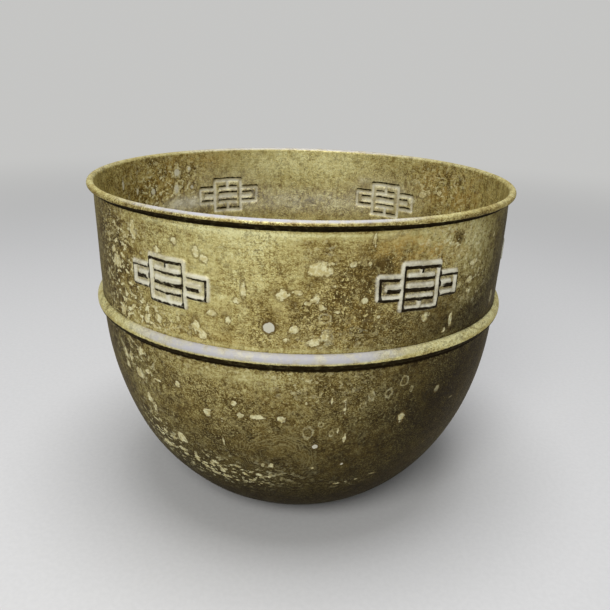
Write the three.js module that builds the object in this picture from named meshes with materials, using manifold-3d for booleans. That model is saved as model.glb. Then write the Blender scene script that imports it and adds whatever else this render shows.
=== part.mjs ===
// Brass jardiniere: a spun bowl and an embossed collar that lap under a half-round belt.
// The top edge of the collar is curled outwards over an iron wire.
// Millimetres, +Z up, origin at the centre of the base. Azimuth 0 is the front, on the -Y side,
// and it grows towards +X.

import * as THREE from "three";
import { mergeGeometries, mergeVertices } from "three/addons/utils/BufferGeometryUtils.js";
import Module from "manifold-3d";

// Overall sizes
const BELT_HEIGHT = 128.5; // base to the middle of the belt
const COLLAR_HEIGHT = 70; // middle of the belt to the top of the rim
const RIM_RADIUS = 127; // outside of the curled rim
const BELT_RADIUS = 122.1; // outside of the wall behind the belt
const BASE_RADIUS = 57; // where the bowl's curve would meet the table
const BASE_ROUND = 6; // length of the soft corner on each side of that meeting
const BOWL_FULLNESS = 0.83; // 1 is an ellipse, less is a fuller side

// Sheet, wire and fits
const SHEET = 0.6; // thickness of the brass
const WIRE_DIAMETER = 2.2;
const FIT_GAP = 0.3; // between pieces that are soldered or curled together

// Lap of the bowl in the collar
const JOGGLE = 1.5; // height over which the bowl steps in
const LAP = 9; // height of the bowl's upright edge inside the collar
const SOLDER_HEIGHT = 2; // fillet on top of that edge

// Belt over the lap
const BELT_WIDTH = 8;
const BELT_PROJECTION = 3.4; // from the wall to the crown of the belt

// Pressed motif: ridges that draw a tall frame between two wings, with bars inside. Cells are the flat
// fields that the ridges leave between them.
const MOTIF_COUNT = 6;
const MOTIF_AZIMUTH = THREE.MathUtils.degToRad(29); // the front right motif
const RIDGE_HEIGHT = 1;
const RIDGE_FLANK = 1.3; // width of a ridge's slope on each side of its crown
const LINE_CROWN = 1; // width of the crown of an outline ridge
const BAR_CROWN = 2; // and of a heavy middle bar
const BAR_CELL_HEIGHT = 1.2; // above and below the middle bars
const FRAME_CELL_HEIGHT = 2.5; // at the frame's top and bottom, beside a short tick
const FRAME_CELL_WIDTH = 7.15; // from the tick to the frame's side
const FRAME_BAR_GAP = 0.4; // from the end of a bar in the frame to the frame's side
const WING_CELL_WIDTH = 9.05;
const WING_BAR_GAP = 1.2; // from the end of a wing's middle bar to the wing's end ridge
const PANEL_MARGIN = 0.1; // plain wall round the motif in its panel, at the least

// Facets
const FACETS_PER_MOTIF = 10;
const BOWL_STEPS = 10;
const ROUND_STEPS = 2;
const CURL_STEPS = 6; // over the rim
const TUCK_STEPS = 3; // and under it
const BELT_STEPS = 6;
const WIRE_SIDES = 6;
const WELD = 0.001; // points closer than this are one point

// Sizes that follow
const facetsAround = MOTIF_COUNT * FACETS_PER_MOTIF;
const facetAngle = (2 * Math.PI) / facetsAround;
const wireRadius = WIRE_DIAMETER / 2;
const curlInside = wireRadius + FIT_GAP;
const curlOutside = curlInside + SHEET;
const curlRadius = RIM_RADIUS - curlOutside;
const curlHeight = BELT_HEIGHT + COLLAR_HEIGHT - curlOutside;
const curlTurn = 2 * Math.PI - Math.acos(wireRadius / curlOutside); // its edge clears the wall by the gap
const collarFoot = BELT_HEIGHT + JOGGLE;
const collarTopRadius = curlRadius - curlInside;
const flangeTop = collarFoot + LAP;
const motifHeight = (BELT_HEIGHT + curlHeight) / 2;
const baseSwing = Math.acos((BASE_RADIUS / BELT_RADIUS) ** (1 / BOWL_FULLNESS));
const bowlDepth = BELT_HEIGHT / Math.sin(baseSwing);
const flare = Math.atan2(collarTopRadius - BELT_RADIUS, curlHeight - BELT_HEIGHT);
const facetWidth = facetAngle * collarRadius(motifHeight);

// Places of the motif's ridges, from its centre to the middle of a ridge
const lineWidth = LINE_CROWN + 2 * RIDGE_FLANK;
const barWidth = BAR_CROWN + 2 * RIDGE_FLANK;
const frameReach = lineWidth + FRAME_CELL_WIDTH;
const wingReach = frameReach + lineWidth + WING_CELL_WIDTH;
const wingRise = (barWidth + lineWidth) / 2 + BAR_CELL_HEIGHT;
const frameRise = wingRise + lineWidth + FRAME_CELL_HEIGHT;
const insideFrameRidge = frameReach - RIDGE_FLANK;
const ridgeRoot = ((SHEET / 2) * RIDGE_FLANK) / RIDGE_HEIGHT; // a flank goes on into the sheet by this
const motifMargin = lineWidth / 2 + ridgeRoot + PANEL_MARGIN;
const panelRise = frameRise + motifMargin;
const panelFacets = Math.ceil((wingReach + motifMargin) / facetWidth);
const panelReach = panelFacets * facetWidth;

const wasm = await Module();
wasm.setup();

// Outside of the collar's straight flaring wall.
function collarRadius(z) {
  const share = (z - BELT_HEIGHT) / (curlHeight - BELT_HEIGHT);
  return THREE.MathUtils.lerp(BELT_RADIUS, collarTopRadius, share);
}

// Outside of the bowl's upright edge, which stands inside the collar.
function flangeRadius(z) {
  return collarRadius(z) - SHEET - FIT_GAP;
}

// Outside of the bowl, from the table at 0 to the belt at 1.
class BowlCurve extends THREE.Curve {
  getPoint(share, target = new THREE.Vector2()) {
    const swing = baseSwing * (1 - share);
    const radius = BELT_RADIUS * Math.cos(swing) ** BOWL_FULLNESS;
    return target.set(radius, BELT_HEIGHT - bowlDepth * Math.sin(swing));
  }
}

// Outside of the wall at a height near the belt.
function wallRadius(z) {
  if (z > BELT_HEIGHT) {
    return collarRadius(z);
  }
  const swing = Math.asin((BELT_HEIGHT - z) / bowlDepth);
  return BELT_RADIUS * Math.cos(swing) ** BOWL_FULLNESS;
}

// Points on an ellipse from one angle to another, ends included.
function ellipseArc(centre, radii, from, to, steps) {
  return Array.from({ length: steps + 1 }, (_, i) => {
    const angle = THREE.MathUtils.lerp(from, to, i / steps);
    return new THREE.Vector2(
      centre.x + radii.x * Math.cos(angle),
      centre.y + radii.y * Math.sin(angle),
    );
  });
}

// The line moved sideways by a distance, to the left of its direction when that is positive.
function offsetLine(line, distance) {
  return line.map((point, i) => {
    const before = line[Math.max(i - 1, 0)];
    const after = line[Math.min(i + 1, line.length - 1)];
    const arriving = i > 0 ? point.clone().sub(before).normalize() : null;
    const leaving = i < line.length - 1 ? after.clone().sub(point).normalize() : null;
    const first = arriving ?? leaving;
    const second = leaving ?? arriving;
    const bisector = first.clone().add(second).normalize();
    const stretch = distance / bisector.dot(first);
    return new THREE.Vector2(point.x - bisector.y * stretch, point.y + bisector.x * stretch);
  });
}

// Section of a sheet whose one face follows the line, as a loop or as a path from axis to axis.
function sheetSection(line, thickness) {
  const section = [...line, ...offsetLine(line, thickness).reverse()];
  return line[0].x > 0 ? [...section, section[0].clone()] : section;
}

// A section turned about the Z axis, with its faces outwards.
function turned(section) {
  const outward = THREE.ShapeUtils.area(section) > 0 ? section : section.toReversed();
  const geometry = new THREE.LatheGeometry(outward, facetsAround, MOTIF_AZIMUTH);
  return geometry.rotateX(Math.PI / 2);
}

function barePosition(geometry) {
  const bare = geometry.clone();
  bare.deleteAttribute("normal");
  bare.deleteAttribute("uv");
  return bare;
}

// Joins points that nearly coincide, and drops the triangles that this closes up. Points are gathered in
// small cells, and the second round has its cells moved by half a cell, so that it joins those that a
// cell's side kept apart.
function welded(geometry) {
  const shift = WELD / 2;
  const first = mergeVertices(geometry, WELD).translate(shift, shift, shift);
  const second = mergeVertices(first, WELD).translate(-shift, -shift, -shift);
  return keepTriangles(second, ([a, b, c]) => a !== b && b !== c && c !== a);
}

function toSolid(geometry) {
  const merged = mergeVertices(barePosition(geometry));
  return new wasm.Manifold(
    new wasm.Mesh({
      numProp: 3,
      vertProperties: merged.attributes.position.array,
      triVerts: new Uint32Array(merged.index.array),
    }),
  );
}

function toGeometry(solid) {
  const mesh = solid.getMesh();
  const geometry = new THREE.BufferGeometry();
  geometry.setAttribute("position", new THREE.BufferAttribute(mesh.vertProperties, 3));
  geometry.setIndex(new THREE.BufferAttribute(mesh.triVerts, 1));
  geometry.computeVertexNormals();
  return geometry;
}

function bowlGeometry() {
  const curve = new BowlCurve();
  const corner = BASE_ROUND / curve.getLength();
  const softCorner = new THREE.QuadraticBezierCurve(
    new THREE.Vector2(BASE_RADIUS - BASE_ROUND, 0),
    new THREE.Vector2(BASE_RADIUS, 0),
    curve.getPointAt(corner),
  );
  const side = Array.from({ length: BOWL_STEPS }, (_, i) =>
    curve.getPointAt(THREE.MathUtils.lerp(corner, 1, (i + 1) / BOWL_STEPS)),
  );
  const outside = [
    new THREE.Vector2(0, 0),
    ...softCorner.getPoints(ROUND_STEPS),
    ...side,
    new THREE.Vector2(flangeRadius(collarFoot), collarFoot),
    new THREE.Vector2(flangeRadius(flangeTop), flangeTop),
  ];
  return turned(sheetSection(outside, SHEET));
}

// A point of the collar's wall in section, measured up the wall from the height of the motifs, and
// outwards from its inside.
function wallPoint(up, outward) {
  return new THREE.Vector2(
    collarRadius(motifHeight) - SHEET + up * Math.sin(flare) + outward * Math.cos(flare),
    motifHeight + up * Math.cos(flare) - outward * Math.sin(flare),
  );
}

function plainCollarGeometry() {
  const centre = new THREE.Vector2(curlRadius, curlHeight);
  const radii = new THREE.Vector2(curlOutside, curlOutside);
  const tuck = curlTurn - Math.PI;
  const inside = [
    new THREE.Vector2(collarRadius(collarFoot) - SHEET, collarFoot),
    wallPoint(-panelRise, 0),
    wallPoint(panelRise, 0),
    ...ellipseArc(centre, radii, Math.PI, 0, CURL_STEPS),
    ...ellipseArc(centre, radii, 0, -tuck, TUCK_STEPS).slice(1),
  ];
  return turned(sheetSection(inside, -SHEET));
}

// Upright rectangles on the unrolled collar, measured from the motif's centre at the wall's face.
function rectangle(left, right, low, high) {
  return { left, right, low, high };
}

function mirrored(block) {
  return rectangle(-block.right, -block.left, block.low, block.high);
}

function flipped(block) {
  return rectangle(block.left, block.right, -block.high, -block.low);
}

function grown(block, by) {
  return rectangle(block.left - by, block.right + by, block.low - by, block.high + by);
}

// The motif is a frame between two wings. Each is cut open, and bars are put back in the openings.
function motifBlocks() {
  const half = lineWidth / 2;
  const frameEnd = frameReach + half;
  const wing = rectangle(insideFrameRidge, wingReach + half, -wingRise - half, wingRise + half);
  const frame = rectangle(-frameEnd, frameEnd, -frameRise - half, frameRise + half);
  return [frame, wing, mirrored(wing)];
}

function motifOpenings() {
  const half = lineWidth / 2;
  const frameEnd = frameReach - half;
  const frameInside = rectangle(-frameEnd, frameEnd, half - frameRise, frameRise - half);
  const wingInside = rectangle(frameReach + half, wingReach - half, half - wingRise, wingRise - half);
  return [frameInside, wingInside, mirrored(wingInside)];
}

function motifBars() {
  const half = lineWidth / 2;
  const barEnd = frameReach - half - FRAME_BAR_GAP;
  const wingBarEnd = wingReach - half - WING_BAR_GAP;
  const middle = rectangle(-barEnd, barEnd, -barWidth / 2, barWidth / 2);
  const rung = rectangle(-barEnd, barEnd, wingRise - half, wingRise + half);
  const tick = rectangle(-half, half, wingRise - RIDGE_FLANK, frameRise + RIDGE_FLANK);
  const wingBar = rectangle(insideFrameRidge, wingBarEnd, -barWidth / 2, barWidth / 2);
  return [middle, rung, flipped(rung), tick, flipped(tick), wingBar, mirrored(wingBar)];
}

// A flat block between two heights. Its flanks lean in by the slope above the face that it is
// measured at, or out where the slope is negative.
function leaningBlock(block, face, near, far, slope) {
  const geometry = new THREE.BoxGeometry(2, 2, 2);
  const position = geometry.attributes.position;
  for (let i = 0; i < position.count; i += 1) {
    const height = position.getZ(i) > 0 ? far : near;
    const leaning = grown(block, -height * slope);
    const x = position.getX(i) > 0 ? leaning.right : leaning.left;
    const y = position.getY(i) > 0 ? leaning.high : leaning.low;
    position.setXYZ(i, x, y, face + height);
  }
  return toSolid(geometry);
}

// The ridges of the motif on a flat face. The inset narrows every ridge on both sides.
function flatRidges(face, inset) {
  const slope = RIDGE_FLANK / RIDGE_HEIGHT;
  const ridge = (block) =>
    leaningBlock(grown(block, -inset), face, -SHEET / 2, RIDGE_HEIGHT, slope);
  const cut = (opening) =>
    leaningBlock(grown(opening, inset), face, -SHEET, RIDGE_HEIGHT + SHEET, -slope);
  const plain = motifBlocks().map(ridge).reduce((joined, block) => joined.add(block));
  const open = motifOpenings().map(cut).reduce((left, opening) => left.subtract(opening), plain);
  return motifBars().map(ridge).reduce((joined, bar) => joined.add(bar), open);
}

// The panel of wall that one motif is pressed in, unrolled flat: x runs round the collar, y up it and
// z out of it. Ridges stand outside, with grooves behind them.
function flatPanel() {
  const plate = leaningBlock(rectangle(-panelReach, panelReach, -panelRise, panelRise), 0, 0, SHEET, 0);
  return plate.add(flatRidges(SHEET, 0)).subtract(flatRidges(0, SHEET / 2));
}

// The triangles of the panel's two broad sides, without the faces at its edges.
function panelSides(panel) {
  const geometry = toGeometry(panel);
  const position = geometry.attributes.position;
  const edges = [
    (i) => Math.abs(position.getX(i)) - panelReach,
    (i) => position.getY(i) + panelRise,
    (i) => position.getY(i) - panelRise,
  ];
  const sides = keepTriangles(geometry, (corners) =>
    edges.every((fromEdge) => corners.some((i) => Math.abs(fromEdge(i)) > WELD)),
  );
  const triangles = [];
  for (let i = 0; i < sides.index.count; i += 3) {
    const corners = [i, i + 1, i + 2].map((corner) => sides.index.getX(corner));
    triangles.push(corners.map((corner) => new THREE.Vector3().fromBufferAttribute(position, corner)));
  }
  return triangles;
}

function keepTriangles(geometry, isKept) {
  const index = geometry.index.array;
  const kept = [];
  for (let i = 0; i < index.length; i += 3) {
    const corners = [index[i], index[i + 1], index[i + 2]];
    if (isKept(corners)) {
      kept.push(...corners);
    }
  }
  return geometry.setIndex(kept);
}

// Where a line crosses an upright plane. The two ends may come in either order.
function crossing(first, second, x) {
  const [left, right] = first.x < second.x ? [first, second] : [second, first];
  return left.clone().lerp(right, (x - left.x) / (right.x - left.x)).setX(x);
}

// What an upright plane leaves of a polygon on its left, where side is -1, or on its right, where it is 1.
function cutPolygon(corners, x, side) {
  return corners.flatMap((corner, i) => {
    const next = corners[(i + 1) % corners.length];
    const kept = (corner.x - x) * side >= 0 ? [corner] : [];
    const isCut = (corner.x - x) * (next.x - x) < 0;
    return isCut ? [...kept, crossing(corner, next, x)] : kept;
  });
}

// The part of the panel that lies on one facet.
function panelStretch(triangles, facet) {
  const left = facet * facetWidth;
  const right = left + facetWidth;
  const points = [];
  for (const triangle of triangles) {
    const polygon = cutPolygon(cutPolygon(triangle, left, 1), right, -1);
    for (let i = 2; i < polygon.length; i += 1) {
      points.push(polygon[0], polygon[i - 1], polygon[i]);
    }
  }
  return new THREE.BufferGeometry().setFromPoints(points);
}

// Folds a flat stretch onto its facet of a motif. Points on the facet's edges meet the next facet.
function foldedStretch(stretch, facet, motif) {
  const geometry = stretch.clone();
  const position = geometry.attributes.position;
  const turn = new THREE.Matrix4().makeRotationZ(motifAzimuth(motif) + (facet + 0.5) * facetAngle);
  for (let i = 0; i < position.count; i += 1) {
    const along = position.getX(i) - (facet + 0.5) * facetWidth;
    const section = wallPoint(position.getY(i), position.getZ(i));
    const isOnEdge = facetWidth / 2 - Math.abs(along) < WELD;
    const edge = Math.sign(along) * section.x * Math.sin(facetAngle / 2);
    position.setXYZ(i, isOnEdge ? edge : along, -section.x * Math.cos(facetAngle / 2), section.y);
  }
  return geometry.applyMatrix4(turn);
}

function motifAzimuth(motif) {
  return MOTIF_AZIMUTH + (2 * Math.PI * motif) / MOTIF_COUNT;
}

// The plain collar with windows where the panels go.
function collarWithWindows() {
  const geometry = barePosition(plainCollarGeometry());
  const position = geometry.attributes.position;
  const low = wallPoint(-panelRise, 0).y;
  const high = wallPoint(panelRise, SHEET).y;
  return keepTriangles(geometry, (corners) => {
    const centre = new THREE.Vector3();
    corners.forEach((i) => centre.add(new THREE.Vector3().fromBufferAttribute(position, i)));
    centre.divideScalar(corners.length);
    const turn = Math.atan2(centre.x, -centre.y) - MOTIF_AZIMUTH;
    const facet = Math.floor(turn / facetAngle);
    const fromMotif = THREE.MathUtils.euclideanModulo(facet + panelFacets, FACETS_PER_MOTIF);
    return centre.z < low || centre.z > high || fromMotif >= 2 * panelFacets;
  });
}

function collarGeometry() {
  const triangles = panelSides(flatPanel());
  const sheets = [collarWithWindows().toNonIndexed()];
  for (let facet = -panelFacets; facet < panelFacets; facet += 1) {
    const stretch = panelStretch(triangles, facet);
    for (let motif = 0; motif < MOTIF_COUNT; motif += 1) {
      sheets.push(foldedStretch(stretch, facet, motif));
    }
  }
  const collar = welded(mergeGeometries(sheets));
  collar.computeVertexNormals();
  return collar;
}

function rimWireGeometry() {
  const centre = new THREE.Vector2(curlRadius, curlHeight);
  const radii = new THREE.Vector2(wireRadius, wireRadius);
  return turned(ellipseArc(centre, radii, 0, 2 * Math.PI, WIRE_SIDES));
}

// A hollow half-round strip whose two edges lie against the bowl and the collar.
function beltGeometry() {
  const crown = new THREE.Vector2(BELT_PROJECTION - FIT_GAP, BELT_WIDTH / 2);
  const outside = ellipseArc(new THREE.Vector2(), crown, -Math.PI / 2, Math.PI / 2, BELT_STEPS);
  for (const point of outside) {
    point.y += BELT_HEIGHT;
    point.x += wallRadius(point.y) + FIT_GAP;
  }
  return turned(sheetSection(outside, SHEET));
}

// Solder run into the corner between the bowl's upright edge and the collar.
function solderGeometry() {
  const low = flangeTop + FIT_GAP;
  const high = low + SOLDER_HEIGHT;
  const outer = SHEET + FIT_GAP;
  const section = [
    new THREE.Vector2(flangeRadius(flangeTop) - SHEET, low),
    new THREE.Vector2(collarRadius(low) - outer, low),
    new THREE.Vector2(collarRadius(high) - outer, high),
  ];
  return turned([...section, section[0].clone()]);
}

function piece(name, geometry, color, roughness, metalness) {
  const material = new THREE.MeshStandardMaterial({ color, roughness, metalness });
  const mesh = new THREE.Mesh(geometry, material);
  mesh.name = name;
  return mesh;
}

const jardiniere = new THREE.Group();
jardiniere.add(
  piece("bowl", bowlGeometry(), 0x7d6a2c, 0.42, 1),
  piece("collar", collarGeometry(), 0x94803a, 0.38, 1),
  piece("rim_wire", rimWireGeometry(), 0x4a4038, 0.7, 1),
  piece("belt_hoop", beltGeometry(), 0xb09a50, 0.34, 1),
  piece("lap_solder", solderGeometry(), 0x8c8a80, 0.5, 1),
);

export default jardiniere;
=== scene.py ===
"""Looks of an aged brass jardiniere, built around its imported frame.

Metres, +Z up, origin at the centre of the base. Azimuth 0 is the front, on the -Y side, and it grows
towards +X. Motifs are drawn on the unrolled collar, in millimetres from their own centre. Stains are
placed by azimuth in degrees and height in millimetres.
"""

import math

import bpy
import numpy as np
from mathutils import Matrix, Vector


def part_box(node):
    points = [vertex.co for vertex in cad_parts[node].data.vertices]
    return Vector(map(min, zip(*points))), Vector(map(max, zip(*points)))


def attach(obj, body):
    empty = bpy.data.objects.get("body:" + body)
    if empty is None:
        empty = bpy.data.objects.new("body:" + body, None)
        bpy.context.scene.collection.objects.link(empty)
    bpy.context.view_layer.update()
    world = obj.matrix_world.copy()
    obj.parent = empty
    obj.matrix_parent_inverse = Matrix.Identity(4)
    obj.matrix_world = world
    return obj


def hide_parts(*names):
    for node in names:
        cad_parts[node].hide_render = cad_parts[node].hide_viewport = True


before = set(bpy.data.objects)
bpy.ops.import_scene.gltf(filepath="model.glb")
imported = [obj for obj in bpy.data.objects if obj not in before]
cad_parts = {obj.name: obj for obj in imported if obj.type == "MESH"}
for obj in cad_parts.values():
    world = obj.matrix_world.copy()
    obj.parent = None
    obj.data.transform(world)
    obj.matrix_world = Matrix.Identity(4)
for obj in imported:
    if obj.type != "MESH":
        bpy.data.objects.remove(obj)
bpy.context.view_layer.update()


def reach(node):
    """Greatest distance of a node's points from the axis."""
    return max(vertex.co.xy.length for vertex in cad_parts[node].data.vertices)


def lowest(node):
    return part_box(node)[0].z


def highest(node):
    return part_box(node)[1].z


MM = 0.001

# Sheet and fits
SHEET = 0.6 * MM
FIT_GAP = 0.3 * MM

# Bowl
BASE_RADIUS = 57 * MM
BASE_ROUND = 6 * MM
BOWL_FULLNESS = 0.83
BOWL_TOP = highest("bowl")
BELT_RADIUS = reach("bowl")

# Belt
BELT_HEIGHT = (lowest("belt_hoop") + highest("belt_hoop")) / 2
BELT_WIDTH = highest("belt_hoop") - lowest("belt_hoop")
BELT_CROWN = reach("belt_hoop") - BELT_RADIUS

# Collar and its curled rim
COLLAR_FOOT = lowest("collar")
RIM_TOP = highest("collar")
RIM_RADIUS = reach("collar")
WIRE_RADIUS = 1.1 * MM
CURL_INSIDE = WIRE_RADIUS + FIT_GAP
CURL_OUTSIDE = CURL_INSIDE + SHEET
CURL_RADIUS = RIM_RADIUS - CURL_OUTSIDE
CURL_HEIGHT = RIM_TOP - CURL_OUTSIDE
CURL_TUCK = math.pi - math.acos(WIRE_RADIUS / CURL_OUTSIDE)
COLLAR_TOP_RADIUS = CURL_RADIUS - CURL_INSIDE

# Pressed motif, in millimetres from its centre
MOTIF_COUNT = 6
MOTIF_AZIMUTH = math.radians(29)
MOTIF_HEIGHT = (BELT_HEIGHT + CURL_HEIGHT) / 2
RIDGE_HEIGHT = 1.0
RIDGE_FLANK = 1.3
LINE_CROWN = 1.0
BAR_CROWN = 2.0
FRAME_REACH = 10.75
FRAME_RISE = 11.4
FRAME_BAR_REACH = 7.25
WING_REACH = 23.4
WING_RISE = 5.3
WING_BAR_REACH = 19.1

# How far each motif was struck off its place: across, up, and rise for each millimetre across
MOTIF_SHIFTS = [
    (0.2, 1.2, -0.042), (0.4, -0.4, 0.02), (-0.8, 0.5, -0.01), (-0.8, 0.8, 0.01), (0.3, 0.3, -0.03),
    (-0.3, -0.5, -0.024),
]

# Painted shade, with some dirt, beside the ridges of a motif lit from its left: left, right, low and
# high
FLANK_SHADE_LINES = [
    (-10.7, -8.7, -11.9, 11.0), (10.6, 12.4, -12.6, 10.4), (-10.6, 10.6, 8.6, 10.8),
    (-10.6, 12.4, -12.8, -10.9), (-8.6, 9.0, 3.0, 5.0), (-8.6, 9.0, -3.1, -0.4),
    (-8.6, 9.0, -7.3, -5.3), (-0.7, 0.8, 6.8, 9.0), (-23.8, -12.3, 3.3, 5.1), (-23.8, -21.9, -6.6, 5.1),
    (-23.8, -12.3, -6.9, -5.1), (-19.2, -12.0, -2.9, -0.2), (12.6, 24.9, 3.4, 5.0),
    (23.4, 25.1, -6.6, 4.8), (12.6, 25.1, -6.9, -5.3), (13.6, 21.8, -2.8, 0.0),
]

# Waviness of a motif: size in millimetres, and turn for each millimetre along it and for each motif
SIDE_WAVES = [(0.12, 0.43, 2.1), (0.12, 0.61, 1.3)]
RISE_WAVES = [(0.15, 0.29, 1.7), (0.1, 0.7, 0.9)]

# Painted shade with some dirt, chalk, and a painted highlight on a motif: strength left and right of
# the front
RIDGE_SHADE = (0.64, 0.78)
CHALK_FIELD = (0.38, 0.12)
CHALK_CROWNS = (0.44, 0.7)
FLANK_HIGHLIGHT = (0.5, 0.8)
FLANK_SHADE_EDGE = 0.3  # half width of the soft edge of the painted shade, in millimetres
SLOPE_STEP = 0.4  # millimetres to each side over which the slope of a flank is taken
# Painted shade above the grooves inside: its strength and its height
GROOVE_SHADE = 0.8
GROOVE_SHIFT = 1.3  # height of the painted shade above the groove, in millimetres

# Dents: heights over which they rise from nothing and over which they fade again, and their waves.
# A wave has its depth in millimetres, number round the wall, turn for each metre of height, and start.
COLLAR_DENTS = (
    (COLLAR_FOOT + 10 * MM, COLLAR_FOOT + 22 * MM),
    (CURL_HEIGHT - 16 * MM, CURL_HEIGHT - 4 * MM),
    [(0.16, 5, 0, 1), (0.12, 11, 60, 2)],
)
BOWL_DENTS = (
    (2 * MM, 22 * MM),
    (BELT_HEIGHT - 24 * MM, BELT_HEIGHT - 8 * MM),
    [(0.22, 4, 30, 0), (0.16, 9, -70, 1)],
)

# Spacing of the collar's points in millimetres, and how far the fine spacing reaches past the ridges
FINE_STEP = 0.5
COARSE_STEP = 2.0
INSIDE_STEP = 0.8
BAR_END = 0.6  # from the end of a bar to the middle of its flank
SIDE_MARGIN = 1
RISE_MARGIN = 2
RIM_MARGIN = 6

# Numbers of points along the sections and round the axis
CURL_OVER = 24
CURL_UNDER = 14
CURVE_SAMPLES = 4000
BOWL_COLUMNS = 520
BOWL_ROWS = 116
CORNER_ROWS = 12
BASE_ROWS = 14
BELT_COLUMNS = 360
BELT_ROWS = 25
WIRE_ROWS = 16
SOLDER_ROWS = 7
HIDDEN_COLUMNS = 240  # of the wire and the solder

BASE_CENTRE = 4 * MM  # radius of the smallest ring of points in the base
BELT_FIT = 0.05 * MM  # gap between the belt's edges and the wall
SOLDER_HOLLOW = 0.3  # how far the fillet's face stays away from its corner

# Painted highlight on the crowns of rim and belt: its middle, and where its fading starts and ends, in
# degrees
FRONT_HIGHLIGHT = (-8, 20, 44)
BACK_HIGHLIGHT = (180, 20, 60)
BACK_HIGHLIGHT_SHARE = 0.8
SIDE_HIGHLIGHT_SHARE = 0.15

# Finish of the curled rim, by the angle round its section: painted light on its upper side, a painted
# highlight on its crown, and painted shade underneath
CURL_TONE = 0.44
CURL_LIGHT = 0.26
CURL_LIT = np.radians((-10, 70))
CURL_CROWN_RISE = np.radians((20, 46))
CURL_CROWN_FADE = (2.4, 3.0)  # in radians
CURL_SHADE_EDGE = math.radians(-34)
CURL_SHADE_SHIFT = math.radians(25)
CURL_SHADE_SOFT = np.radians((-14, 14))

# Finish of the belt, by the angle round its section: painted light on its upper side, a painted
# highlight on its crown, and painted shade on its lower half
BELT_TONE = 0.66
BELT_LIGHT = 0.24
BELT_LIT = np.radians((-30, 40))
BELT_HIGHLIGHT_EDGE = np.radians((-8, 10))
BELT_HIGHLIGHT_SHIFT = math.radians(25)
BELT_LOWER_SHADE = np.radians((-22, -3))

# Bands of the walls beside rim and belt: heights of painted shade under both, with some dirt under the
# belt, and middle, size and strength of painted highlights
RIM_FOOT = CURL_HEIGHT - CURL_OUTSIDE
BELT_FOOT = BELT_HEIGHT - BELT_WIDTH / 2
RIM_SHADOW = (RIM_FOOT - 2.0 * MM, RIM_FOOT - 1.4 * MM)
RIM_GLEAM = (RIM_FOOT - 3.6 * MM, 1.0 * MM, 0.4)
BELT_GLEAM = (BELT_HEIGHT + BELT_WIDTH / 2 + 0.8 * MM, 1.3 * MM, 0.34)
UNDER_BELT_SHADE_DEPTH = 2.9 * MM
UNDER_BELT_SHADE_SWAY = 0.9 * MM
UNDER_BELT_SHADE_TURN = math.radians(20)
UNDER_BELT_SHADE_TOP = BELT_FOOT - 0.4 * MM

# Painted shade, darker towards the base of the bowl: share of brass at the base, more of it at the
# belt, where that begins, and least in patches
BASE_SHADE = 0.055
BELT_SHADE = 0.78
SHADE_START = 14 * MM
DARKEST_SIDE = 0.1

# Zones of the finish: azimuth, height, half width in degrees, half height in millimetres, strength
COLLAR_TONE = 0.48
BOWL_TONE = 0.34
# The first zone is a painted highlight high on the front left of the collar
OUTSIDE_ZONES = [
    (-14, 184, 16, 24, 0.27), (-36, 178, 10, 15, 0.13), (-26, 152, 22, 20, 0.07),
    (-53, 166, 11, 32, -0.4), (14, 160, 9, 24, -0.32), (21, 179, 5, 6, -0.24), (31, 187, 11, 7, 0.26),
    (46, 182, 7, 14, 0.42), (39.5, 185.5, 1.9, 3.2, -0.5), (38, 142, 14, 14, -0.1),
    (2, 152, 8, 14, -0.1), (-20, 117, 14, 6, 0.33), (-6, 119, 10, 4, 0.18), (10, 122, 12, 5, 0.08),
    (-44, 104, 8, 10, 0.1), (-7, 60, 6, 7, -0.15), (150, 160, 30, 30, 0.14), (-140, 100, 34, 40, -0.1),
]
# Painted shade towards both sides of the wall and over the bowl's right; the small last zone is a real
# smudge
SHADE_ZONES = [
    (44, 88, 32, 56, -0.92), (42, 141, 20, 12, -0.35), (72, 165, 21, 70, -0.92),
    (-74, 160, 22, 70, -0.66), (-50, 112, 14, 14, -0.3), (-64, 80, 18, 40, -0.4),
    (39.6, 185, 1.7, 3.4, -0.5),
]
INSIDE_TONE = 0.62
INSIDE_FLECKS = 0.2
INSIDE_ZONES = [
    (170, 188, 16, 16, 0.26), (-165, 186, 20, 14, 0.2), (178, 157, 24, 10, -0.14),
    (-150, 158, 12, 7, -0.22), (-122, 176, 20, 30, -0.27), (122, 178, 18, 30, -0.13),
    (0, 175, 60, 30, 0.05), (0, 20, 180, 40, -0.15),
]
WARM_ZONES = [
    (-25, 134, 16, 5, 0.5), (27, 184, 10, 7, 1.4), (38, 180, 12, 14, 0.6), (38, 146, 12, 12, 0.45),
    (24, 146, 6, 8, 0.6), (10, 150, 8, 14, 0.35), (-46, 165, 9, 20, 0.15), (20, 80, 60, 50, 0.35),
]
INSIDE_WARM_ZONES = [(-143, 192, 12, 7, 0.9), (-126, 176, 14, 16, 0.7), (120, 180, 18, 18, 1.1)]
FLECK_ZONES = [
    (-24, 50, 20, 12, 1.3), (-43, 68, 8, 16, 1.0), (16, 43, 5, 3, 0.8), (-48, 160, 10, 36, 1.3),
    (-38, 140, 12, 8, 1.0), (-44, 108, 10, 12, 0.7), (-12, 121, 26, 5, 0.5), (9, 140, 10, 8, 0.5),
    (5, 186, 4, 8, 0.6), (38, 184, 12, 9, 0.9), (47, 164, 8, 18, 0.6), (5, 113, 10, 8, 0.6),
    (130, 170, 60, 40, 0.4),
]
INSIDE_FLECK_ZONES = [
    (-124, 172, 15, 18, 1.4), (-136, 161, 10, 5, 0.9), (180, 156, 24, 8, 0.5), (126, 178, 15, 16, 0.7),
]
BLOTCH_ZONES = [
    (-50, 165, 11, 36, 0.8), (-45, 95, 14, 32, 0.6), (-10, 106, 34, 16, 0.35), (0, 76, 44, 26, 0.3),
    (14, 158, 12, 24, 0.35), (36, 184, 12, 9, 0.5), (52, 165, 10, 34, 0.6), (180, 120, 90, 70, 0.3),
]
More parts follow.
